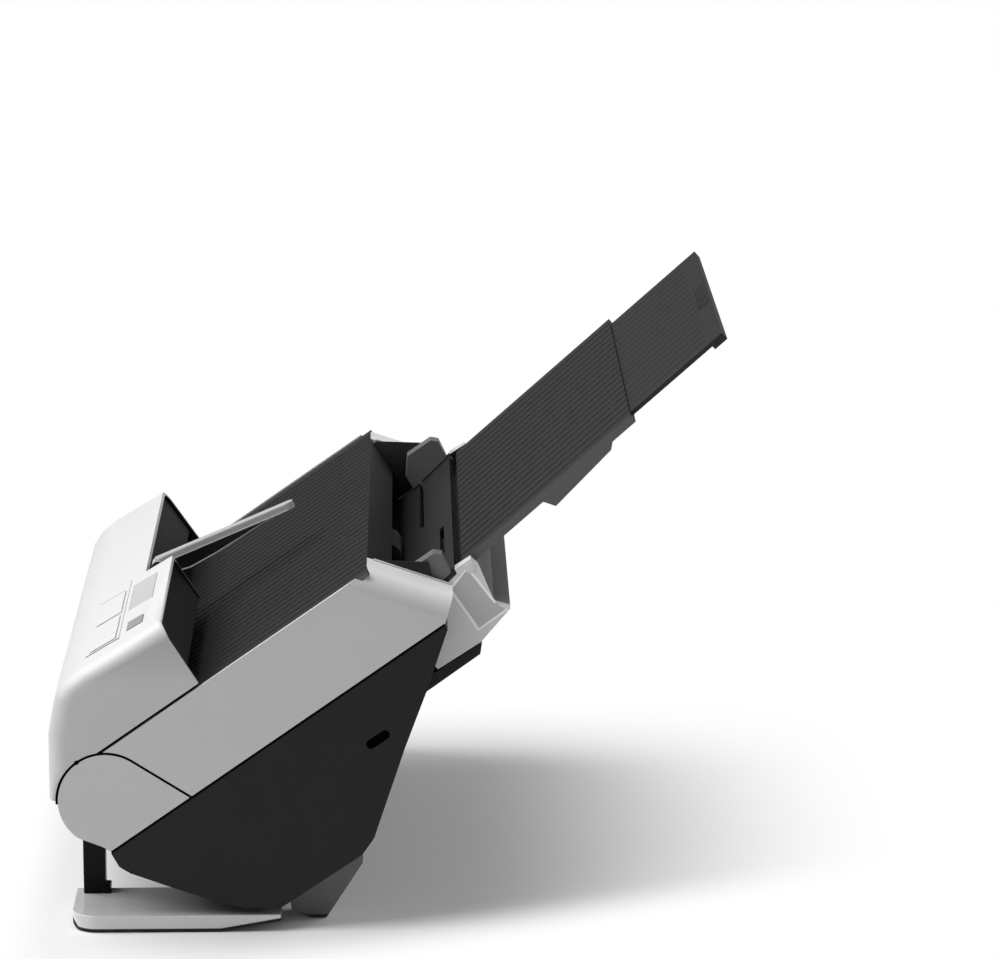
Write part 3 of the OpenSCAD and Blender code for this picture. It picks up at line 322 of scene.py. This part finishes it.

# Finishes of single pieces, which differ from the rest of their slot
# Painted shade: near black, for the shade inside seams, slots, vent gaps and screw recesses
GAP_SHADE = moulded("painted_gap_shade", grey(0.001), 0.8, dust=0.0, Specular_IOR_Level=0.02)
# Painted shade: the front cover's inner walls are near black. Painted light: its faces that turn up
# are paler
COVER = moulded("cover_white", grey(0.5), 0.4, depth=0.01 * MM, dust=0.02, top=grey(0.82),
                cloudy=0.01, part=(painted_shade_inside_cover, grey(0.012)))
# Painted shade: a darker grey for the end faces of the rear housing's ears
EAR_SHADE = moulded("painted_ear_shade", grey(0.5), 0.4, depth=0.01 * MM, dust=0.02)
# Painted highlight: near-white strips along edges that catch the light
EDGE_HIGHLIGHT = moulded("painted_edge_highlight", grey(0.95), 0.35, depth=0.005 * MM, dust=0.0)
# Painted shade: dark bars for the shaded side faces of the panel's keys
KEY_SHADE = moulded("painted_key_shade", grey(0.06), 0.6, dust=0.0)
KEY = moulded("key_grey", grey(0.33), 0.4, depth=0.008 * MM)
FOOT = moulded("rear_foot_grey", grey(0.13), 0.5, part=(near_floor, grey(0.012)))
# Painted shade: the front cover's rear panel is near black, for the shade it stands in
RECESS_SHADE = moulded("painted_recess_shade", grey(0.009), 0.6, dust=0.0, Specular_IOR_Level=0.2)
# Painted light: rib faces that face along X are paler, making up for the light they miss from above
RIBBED = moulded("ribbed_black", (0.0215, 0.0215, 0.022), 0.46, dust=0.02, Specular_IOR_Level=0.3,
                 part=(faces_sideways, (0.11, 0.11, 0.111)))
OWN = {"start_key": KEY, "rear_feet": FOOT, "cover_rear_panel": RECESS_SHADE, "eject_tray": RIBBED,
       "feed_tray": RIBBED}

for row in frame["record"]["subparts"]:
    name = row["node"]
    nodes[name].data.materials.clear()
    nodes[name].data.materials.append(OWN.get(name, FINISHES[row["material_slot"]]))


# ---------------------------------------------------------------- camera, floor, light
# The body leans on its stand. Its own places are given in millimetres from the front hinge axis:
# x across, u along the incline to the rear, n square to the incline.
LEAN = math.radians(35)
pin_low, pin_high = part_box("hinge_pins")
HINGE_Y, HINGE_H = (pin_low.y + pin_high.y) / 2, (pin_low.z + pin_high.z) / 2
HALF_W = 199.0


def leaned(x, u, n):
    """The point of the frame at that place of the leaning body."""
    c, s = math.cos(LEAN), math.sin(LEAN)
    u, n = u * MM, n * MM
    return Vector((x * MM, HINGE_Y + u * c - n * s, HINGE_H + u * s + n * c))


def unleaned(point):
    """The place x, u, n of a point of the frame."""
    c, s = math.cos(LEAN), math.sin(LEAN)
    y, z = (point.y - HINGE_Y) / MM, (point.z - HINGE_H) / MM
    return Vector((point.x / MM, y * c + z * s, -y * s + z * c))


scene = bpy.context.scene

AZIMUTH, ELEVATION = math.radians(88.83), math.radians(13.23)
FOCAL_PX, IMAGE_W = 4640, 1000
DISTANCE = 2.772
AIM_BEHIND_HINGE, AIM_ABOVE_HINGE = 0.2391, 0.199
SENSOR = 36.0
forward = Vector((-math.cos(ELEVATION) * math.sin(AZIMUTH),
                  math.cos(ELEVATION) * math.cos(AZIMUTH), -math.sin(ELEVATION)))
aim = Vector((HALF_W * MM, HINGE_Y + AIM_BEHIND_HINGE, HINGE_H + AIM_ABOVE_HINGE))

lens = bpy.data.cameras.new("camera")
lens.sensor_fit = "HORIZONTAL"
lens.sensor_width = SENSOR
lens.lens = SENSOR * FOCAL_PX / IMAGE_W
lens.clip_end = 100.0
camera = bpy.data.objects.new("camera", lens)
camera.location = aim - forward * DISTANCE
camera.rotation_euler = forward.to_track_quat("-Z", "Y").to_euler()
scene.collection.objects.link(camera)
scene.camera = camera
scene.view_settings.view_transform = "Standard"


def soft_box(name, at, size, power, aim_at=(0, 0, 0.15)):
    """A square area light of that size in metres, turned to the part."""
    light = bpy.data.lights.new(name, "AREA")
    light.size = size
    light.energy = power
    lamp = bpy.data.objects.new(name, light)
    lamp.location = at
    lamp.rotation_euler = (Vector(aim_at) - Vector(at)).to_track_quat("-Z", "Y").to_euler()
    scene.collection.objects.link(lamp)


soft_box("key_softbox", (0.2, -1.7, 2.2), 2.6, 95)
soft_box("rear_softbox", (-0.9, 2.2, 1.5), 1.8, 30)


def pale_floor():
    """A pale matt floor that shows the part's shadow near it and is plain white further off."""
    half, below = 30.0, 0.0002
    mesh = bpy.data.meshes.new("floor")
    mesh.from_pydata([(-half, -half, 0), (half, -half, 0), (half, half, 0), (-half, half, 0)], [],
                     [(0, 1, 2, 3)])
    floor = bpy.data.objects.new("floor", mesh)
    floor.location.z = -below
    scene.collection.objects.link(floor)
    finish = Finish("floor", grey(0.86), 0.9, Specular_IOR_Level=0.0)
    finish.set("Base Color", finish.mix(finish.noise(0.4, 2.0), grey(0.85), grey(0.87)))
    # The shadow shows in a patch under the part and fades out in metres towards its four sides
    across, along = finish.at(X), finish.at(Y)
    behind = along.smooth(0.04, 0.34, 0.98, 0.0)
    ahead = along.smooth(-0.235, -0.2)
    left = across.smooth(-0.33, -0.13)
    right = (across + along * 0.5).smooth(0.185, 0.26, 1.0, 0.0)
    far = 1.0 - behind * ahead * left * right
    seen_by_camera = finish.add("LightPath", {})
    white = finish.add("Emission", {}, Color=(1, 1, 1), Strength=1.0)
    blend = finish.tree.nodes.new("ShaderNodeMixShader")
    finish.feed(blend.inputs[0], seen_by_camera * far)
    finish.tree.links.new(finish.shader.outputs[0], blend.inputs[1])
    finish.tree.links.new(white.socket, blend.inputs[2])
    finish.tree.links.new(blend.outputs[0], finish.tree.nodes["Material Output"].inputs[0])
    mesh.materials.append(finish.material)


pale_floor()

BOUNCE = 0.22
world = bpy.data.worlds.new("studio")
scene.world = world
world.use_nodes = True
sky = world.node_tree.nodes["Background"]
sky.inputs[0].default_value = (1, 1, 1, 1)
rays = world.node_tree.nodes.new("ShaderNodeLightPath")
level = world.node_tree.nodes.new("ShaderNodeMapRange")
level.inputs["To Min"].default_value = BOUNCE
world.node_tree.links.new(rays.outputs[0], level.inputs["Value"])
world.node_tree.links.new(level.outputs[0], sky.inputs[1])


# ---------------------------------------------------------------- pieces
def piece(name, mesh, body, slot, finish=None):
    """A new object that rides on a body. It has its slot's finish, or its own."""
    thing = bpy.data.objects.new(name, mesh)
    scene.collection.objects.link(thing)
    mesh.materials.clear()
    mesh.materials.append(finish or FINISHES[slot])
    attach(thing, body)
    return thing


def soften(mesh, angle=40):
    """Smooth shading with creases kept at sharp edges."""
    for face in mesh.polygons:
        face.use_smooth = True
    mesh.set_sharp_from_angle(angle=math.radians(angle))


def cleaned(node):
    """A copy of a node's mesh with its flat faces whole."""
    work = bmesh.new()
    work.from_mesh(nodes[node].data)
    bmesh.ops.remove_doubles(work, verts=work.verts, dist=1e-6)
    bmesh.ops.dissolve_limit(work, angle_limit=math.radians(0.4), verts=work.verts,
                             edges=work.edges)
    return work


# The front cover turns round the hinge caps with a ring, and rises from there to a crest. Its
# operator half, on the right, reaches further back than its plain half.
CREST_ROUND = 11.0
RING_R, RING_MARGIN = 30.2, 2.2
REAR_EDGE = {"right": 88.0, "left": 68.0}
REAR_FACE_DROP = 20.0
FLAT_U, FLAT_N = 5.0, 29.0


def crest_edges(work, x_at):
    """Edges between the crest and an end face of the front cover, at that distance from the middle.

    Left out are the ring's edges, the long edges of the rear face and the cover's lower edge.
    """
    found = []
    for edge in work.edges:
        a, b = (unleaned(v.co) for v in edge.verts)
        if abs(abs(a.x) - x_at) > 0.05 or abs(abs(b.x) - x_at) > 0.05 or a.x * b.x < 0:
            continue
        middle = (a + b) / 2
        rear = REAR_EDGE["right" if middle.x > 0 else "left"]
        on_ring = math.hypot(middle.y, middle.z) < RING_R + RING_MARGIN
        on_rear_face = max(a.y, b.y) > rear and abs(a.z - b.z) > REAR_FACE_DROP
        lower_edge = middle.y > FLAT_U and max(a.z, b.z) < FLAT_N
        if not (on_ring or middle.y > rear or on_rear_face or lower_edge):
            found.append(edge)
    return found


def rounded_front_cover():
    """The front cover with its end edges rounded over outside and inside."""
    work = cleaned("front_cover")
    for x_at, radius in ((HALF_W, CREST_ROUND), (HALF_W - COVER_WALL, CREST_ROUND - COVER_WALL)):
        bmesh.ops.bevel(work, geom=crest_edges(work, x_at), offset=radius * MM, segments=8,
                        profile=0.5, affect="EDGES", clamp_overlap=False)
    bmesh.ops.triangulate(work, faces=[f for f in work.faces if len(f.verts) > 4])
    mesh = bpy.data.meshes.new("front_cover_skin")
    work.to_mesh(mesh)
    work.free()
    soften(mesh, 35)
    skin = piece("front_cover_skin", mesh, "front_cover", "white_plastic", COVER)
    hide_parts("front_cover")


rounded_front_cover()


def edged(names, width, angle=32):
    """Small moulded rounding on every edge of these CAD nodes."""
    for name in names:
        thing = nodes[name]
        for face in thing.data.polygons:
            face.use_smooth = True
        weld = thing.modifiers.new("weld", "WELD")
        weld.merge_threshold = 0.01 * MM
        flat = thing.modifiers.new("flat", "DECIMATE")
        flat.decimate_type = "DISSOLVE"
        flat.angle_limit = math.radians(0.5)
        edge = thing.modifiers.new("edge", "BEVEL")
        edge.width = width * MM
        edge.segments = 2
        edge.limit_method = "ANGLE"
        edge.angle_limit = math.radians(angle)
        edge.use_clamp_overlap = True
        edge.miter_outer = "MITER_ARC"
        normals = thing.modifiers.new("normals", "WEIGHTED_NORMAL")
        normals.keep_sharp = True


COVER_EDGE, SMALL_EDGE = 0.6, 0.3
edged(["right_upper_cover", "left_upper_cover", "right_hinge_cap", "left_hinge_cap",
       "right_side_cover", "left_side_cover", "rear_housing", "front_legs", "rear_feet",
       "right_paper_guide", "left_paper_guide", "foot_plates", "foot_soles"], COVER_EDGE)
edged(["feed_tray", "tray_extension", "eject_guide", "start_key", "stop_key", "menu_key",
       "display_window", "release_button", "power_switch", "mains_inlet", "data_socket",
       "cover_rear_panel", "base_shell"], SMALL_EDGE)


def side_view(u, n, x):
    """For outlines drawn in the side view and carried across the machine."""
    return leaned(x, u, n)


def on_face(u0, n0, degrees, outward=1):
    """For a sloping face: x across, a up the slope from u0, n0, and h out of the face."""
    c, s = math.cos(math.radians(degrees)), math.sin(math.radians(degrees))

    def place(x, a, h):
        h *= outward
        return leaned(x, u0 + a * c - h * s, n0 + a * s + h * c)
    return place


class Build:
    """Collects straight-sided solids in one mesh, in millimetres, through a placing function."""

    def __init__(self, place):
        self.place, self.work = place, bmesh.new()

    def prism(self, ring, low, high):
        """The outline ring, drawn in the first two places, from low to high in the third."""
        ends = [[self.work.verts.new(self.place(*corner, level)) for corner in ring]
                for level in (low, high)]
        self.work.faces.new(ends[0])
        self.work.faces.new(ends[1][::-1])
        for i in range(len(ring)):
            j = (i + 1) % len(ring)
            self.work.faces.new((ends[0][j], ends[0][i], ends[1][i], ends[1][j]))
        return self

    def box(self, x0, x1, a0, a1, h0, h1):
        return self.prism([(x0, a0), (x1, a0), (x1, a1), (x0, a1)], h0, h1)

    def disc(self, x, a, radius, h0, h1, count=28):
        turns = [2 * math.pi * i / count for i in range(count)]
        ring = [(x + radius * math.cos(t), a + radius * math.sin(t)) for t in turns]
        return self.prism(ring, h0, h1)

    def done(self, name, body, slot, finish=None, rounding=0.0):
        bmesh.ops.recalc_face_normals(self.work, faces=self.work.faces)
        if rounding:
            sharp = [e for e in self.work.edges if e.calc_face_angle(0) > 0.5]
            bmesh.ops.bevel(self.work, geom=sharp, offset=rounding * MM, segments=2, profile=0.5,
                            affect="EDGES", clamp_overlap=True)
        mesh = bpy.data.meshes.new(name)
        self.work.to_mesh(mesh)
        self.work.free()
        soften(mesh)
        return piece(name, mesh, body, slot, finish)


def ribbon(name, path, width, x0, x1, body, slot, finish):
    """A thin strip along a path in the side view, between two distances across."""
    left, right = [], []
    last = len(path) - 1
    for i, (u, n) in enumerate(path):
        before, after = path[max(i - 1, 0)], path[min(i + 1, last)]
        du, dn = after[0] - before[0], after[1] - before[1]
        size = math.hypot(du, dn)
        turn = 1.0
        if 0 < i < last:
            a = math.atan2(n - before[1], u - before[0])
            b = math.atan2(after[1] - n, after[0] - u)
            turn = max(0.5, math.cos((b - a) / 2))
        off_u, off_n = -dn / size * width / 2 / turn, du / size * width / 2 / turn
        left.append((u + off_u, n + off_n))
        right.append((u - off_u, n - off_n))
    return Build(side_view).prism(left + right[::-1], x0, x1).done(name, body, slot, finish)


def turned(radius, start, end, count):
    """Points of an arc about the hinge axis, in degrees up from the incline."""
    steps = [math.radians(start + (end - start) * i / (count - 1)) for i in range(count)]
    return [(radius * math.cos(a), radius * math.sin(a)) for a in steps]


# Painted shade: black strips, wider than the gaps, over the seams round the hinge caps and under
# the belly
SEAM_W = 1.5
SIDE_IN, SIDE_OUT = 198.2, 199.04
CAP_R, CAP_GAP = 29.2, 1.0
CAP_START, CAP_END = 22.14, 149.0
WEDGE_CORNER = (43.6, -28.0)
BELLY_SEAM = [(-16.4, -28.5), (231.0, -28.5)]

# Rear housing's ears, which hold the feed tray: white strips along their edges are painted
# highlights, and a darker panel on each end face is painted shade
EAR_IN, EAR_PANEL, EAR_OUT = 161.2, 161.6, 161.75
EAR_RIM = [(241.2, -20.6), (257.9, -15.6), (259.0, -43.2)]
EAR_LEDGE = [(241.4, -20.8), (241.0, -51.2), (263.2, -50.9)]
EAR_FACE = [(241.4, -20.8), (257.9, -15.6), (259.0, -43.2), (261.5, -50.5), (241.0, -51.2)]

for side, hand in ((1, "right"), (-1, "left")):
    skin = (side * SIDE_IN, side * SIDE_OUT, "lower_unit", "black_plastic", GAP_SHADE)
    ear = (side * EAR_IN, side * EAR_OUT, "lower_unit", "housing_grey", EDGE_HIGHLIGHT)
    cap = [WEDGE_CORNER] + turned(CAP_R + CAP_GAP / 2, CAP_START, CAP_END, 40)
    ribbon(hand + "_cap_seam", cap, SEAM_W, *skin)
    ribbon(hand + "_belly_seam", BELLY_SEAM, SEAM_W, *skin)
    ribbon(hand + "_ear_rim", EAR_RIM, SEAM_W, *ear)
    ribbon(hand + "_ear_ledge", EAR_LEDGE, SEAM_W, *ear)
    panel = Build(side_view).prism(EAR_FACE, side * EAR_IN, side * EAR_PANEL)
    panel.done(hand + "_ear_panel", "lower_unit", "housing_grey", EAR_SHADE)

# Black liners inside the throat, on the inner walls of the cheeks
THROAT = [(214, 22), (241, 1.5), (232, -19), (192, -19), (186, 18)]
LINER_IN, LINER_OUT = 163.2, 163.95
for side, hand in ((1, "right"), (-1, "left")):
    liner = Build(side_view).prism(THROAT, side * LINER_IN, side * LINER_OUT)
    liner.done(hand + "_throat_liner", "upper_unit", "tray_black", rounding=0.2)

# Painted shade: a black floor in the slot of each side cover; and a cap on each end of the feed
# tray's pivot
SIDE_SLOT = [(147, -69), (167, -69), (167, -59), (147, -59)]
SLOT_IN, SLOT_OUT = 196.6, 197.3
PIVOT_U, PIVOT_N, PIVOT_CAP_R = 259.0, -16.6, 3.4
PIVOT_IN, PIVOT_OUT = 160.5, 161.9
for side, hand in ((1, "right"), (-1, "left")):
    slot_floor = Build(side_view).prism(SIDE_SLOT, side * SLOT_IN, side * SLOT_OUT)
    slot_floor.done(hand + "_slot_floor", "lower_unit", "black_plastic", GAP_SHADE)
    pivot_cap = Build(side_view).disc(PIVOT_U, PIVOT_N, PIVOT_CAP_R, side * PIVOT_IN,
                                      side * PIVOT_OUT)
    pivot_cap.done(hand + "_pivot_cap", "lower_unit", "housing_grey", rounding=0.25)

# Painted highlights: white strips along the edges of the eject guide
ARM = on_face(78.0, 69.0, -11.7)
WEB_EDGE = [(1, -3.5), (7.4, -7.7), (18.4, -9.1), (36.8, -7.1), (55.2, -4.1), (73.6, -0.9),
            (88, 0.3)]
WEB_EDGE_W, WEB_EDGE_REACH = 0.8, 1.1
FLANGE_START, FLANGE_END, FLANGE_EDGE_W = 1, 91, 0.7
FLANGE_IN, FLANGE_OUT = 3.5, 3.82
FLANGE_EDGES = {"upper": 4.6, "lower": 0.9}


def on_arm(points):
    """Points of the eject guide's side view, as points u, n of the leaning body."""
    found = [unleaned(ARM(0, a, h)) for a, h in points]
    return [(point.y, point.z) for point in found]


ribbon("guide_web_highlight", on_arm(WEB_EDGE), WEB_EDGE_W, ARM_X - WEB_EDGE_REACH,
       ARM_X + WEB_EDGE_REACH, "eject_guide", "arm_silver", EDGE_HIGHLIGHT)
for side, hand in ((1, "right"), (-1, "left")):
    for place, h in FLANGE_EDGES.items():
        ribbon(f"guide_{hand}_{place}_edge", on_arm([(FLANGE_START, h), (FLANGE_END, h)]),
               FLANGE_EDGE_W, ARM_X + side * FLANGE_IN, ARM_X + side * FLANGE_OUT, "eject_guide",
               "arm_silver", EDGE_HIGHLIGHT)

# Operator panel, out of the cover's sloping top: dark bars by the keys, painted shade for the keys'
# shaded side faces, and a faint grey line
PANEL = on_face(34.0, 74.5, -3.89)
SUNK = -0.2
lines = Build(PANEL)
lines.box(47.4, 49.2, 5, 23, SUNK, 0.04)
lines.box(168.8, 171.2, 3, 27, SUNK, 0.04)
lines.done("panel_key_shade", "front_cover", "white_plastic", KEY_SHADE)
faint = Build(PANEL).box(29, 173, 26.4, 27.0, SUNK, 0.03)
faint.done("panel_faint_line", "front_cover", "white_plastic", KEY)

# Rear wall of the lower unit: vent, blank label, socket frames, screws
REAR_LOW = on_face(118.97, -113.55, 36.53, -1)
REAR_MID = on_face(167.0, -77.95, 34.6, -1)
BOTTOM = on_face(52.0, -117.1, -0.93, -1)

VENT_RIBS, VENT_PITCH, VENT_RIB_W, VENT_OUT = 24, 4.75, 2.4, 0.75
# Painted shade: a black plate behind the vent ribs, for the shade in the vent's gaps
Build(REAR_MID).box(38, 152, 6.5, 31.5, SUNK, 0.05).done("rear_vent_gap_shade", "lower_unit",
                                                         "black_plastic", GAP_SHADE)
vent = Build(REAR_MID)
for i in range(VENT_RIBS):
    start = 40 + i * VENT_PITCH
    vent.box(start, start + VENT_RIB_W, 6, 32, SUNK, VENT_OUT)
vent.box(37, 153, 4.6, 6.6, SUNK, VENT_OUT)
vent.box(37, 153, 31.4, 33.4, SUNK, VENT_OUT)
vent.done("rear_vent_ribs", "lower_unit", "black_plastic", rounding=0.3)
label = Build(REAR_LOW).box(20, 78, 14, 46, SUNK, 0.15)
label.done("blank_label", "lower_unit", "black_plastic", FINISHES["guide_grey"], 0.1)

# Place across, width and height of the mains inlet, the data socket and the power switch
SOCKETS = ((-120, 28, 20), (-78, 12, 11), (-150, 13, 20))
SOCKET_ROW, FRAME_GAP, FRAME_W, FRAME_OUT = 29.88, 0.4, 1.2, 0.7
frames = Build(REAR_LOW)
for x, w, h in SOCKETS:
    x0, x1 = x - w / 2 - FRAME_GAP, x + w / 2 + FRAME_GAP
    a0, a1 = SOCKET_ROW - h / 2 - FRAME_GAP, SOCKET_ROW + h / 2 + FRAME_GAP
    frames.box(x0 - FRAME_W, x0, a0 - FRAME_W, a1 + FRAME_W, SUNK, FRAME_OUT)
    frames.box(x1, x1 + FRAME_W, a0 - FRAME_W, a1 + FRAME_W, SUNK, FRAME_OUT)
    frames.box(x0, x1, a0 - FRAME_W, a0, SUNK, FRAME_OUT)
    frames.box(x0, x1, a1, a1 + FRAME_W, SUNK, FRAME_OUT)
frames.done("socket_frames", "lower_unit", "black_plastic", FINISHES["guide_grey"], 0.2)

SCREW_SEAT_R, SCREW_HEAD_R = 3.9, 2.9
CROSS_REACH, CROSS_HALF_W = 1.7, 0.35


def screws(name, face, spots, body):
    """Countersunk screw heads with a cross recess. Seats and crosses are black, painted shade in
    the recesses.
    """
    seats, heads, crosses = Build(face), Build(face), Build(face)
    for x, a in spots:
        seats.disc(x, a, SCREW_SEAT_R, -0.3, 0.05)
        heads.disc(x, a, SCREW_HEAD_R, -0.3, 0.4)
        crosses.box(x - CROSS_REACH, x + CROSS_REACH, a - CROSS_HALF_W, a + CROSS_HALF_W, 0.1, 0.43)
        crosses.box(x - CROSS_HALF_W, x + CROSS_HALF_W, a - CROSS_REACH, a + CROSS_REACH, 0.1, 0.44)
    seats.done(name + "_seats", body, "black_plastic", GAP_SHADE)
    heads.done(name + "_heads", body, "steel", rounding=0.25)
    crosses.done(name + "_crosses", body, "black_plastic", GAP_SHADE)


screws("rear_screws", REAR_LOW,
       [(-186, 8), (186, 8), (-186, 52), (186, 52), (96, 30), (0, 30)], "lower_unit")
screws("bottom_screws", BOTTOM, [(-120, 12), (120, 12), (-60, 44), (60, 44)], "lower_unit")

# Feed tray: an apron that closes the gap to the bed, and on the extension low ribs and, at its
# end, finger ridges
TRAY = on_face(PIVOT_U, PIVOT_N, 6.6)
EXTENSION_TOP = 3.2
TRAY_RIBS_EACH_SIDE, TRAY_RIB_PITCH, TRAY_RIB_HALF_W = 8, 15, 0.8
RIDGES, RIDGE_PITCH, RIDGE_W, RIDGE_START = 5, 2, 1, 198
apron = Build(TRAY).box(-149.5, 149.5, -3, -0.5, -4.6, -0.8)
apron.done("tray_apron", "feed_tray", "tray_black", rounding=0.3)
low_ribs = Build(TRAY)
for i in range(-TRAY_RIBS_EACH_SIDE, TRAY_RIBS_EACH_SIDE + 1):
    x = i * TRAY_RIB_PITCH
    low_ribs.box(x - TRAY_RIB_HALF_W, x + TRAY_RIB_HALF_W, 124, 196, EXTENSION_TOP + SUNK,
                 EXTENSION_TOP + 0.15)
low_ribs.done("extension_ribs", "tray_extension", "tray_black", rounding=0.08)
ridges = Build(TRAY)
for i in range(RIDGES):
    start = RIDGE_START + i * RIDGE_PITCH
    ridges.box(-32, 32, start, start + RIDGE_W, EXTENSION_TOP + SUNK, EXTENSION_TOP + 0.5)
ridges.done("extension_grip", "tray_extension", "tray_black", rounding=0.2)
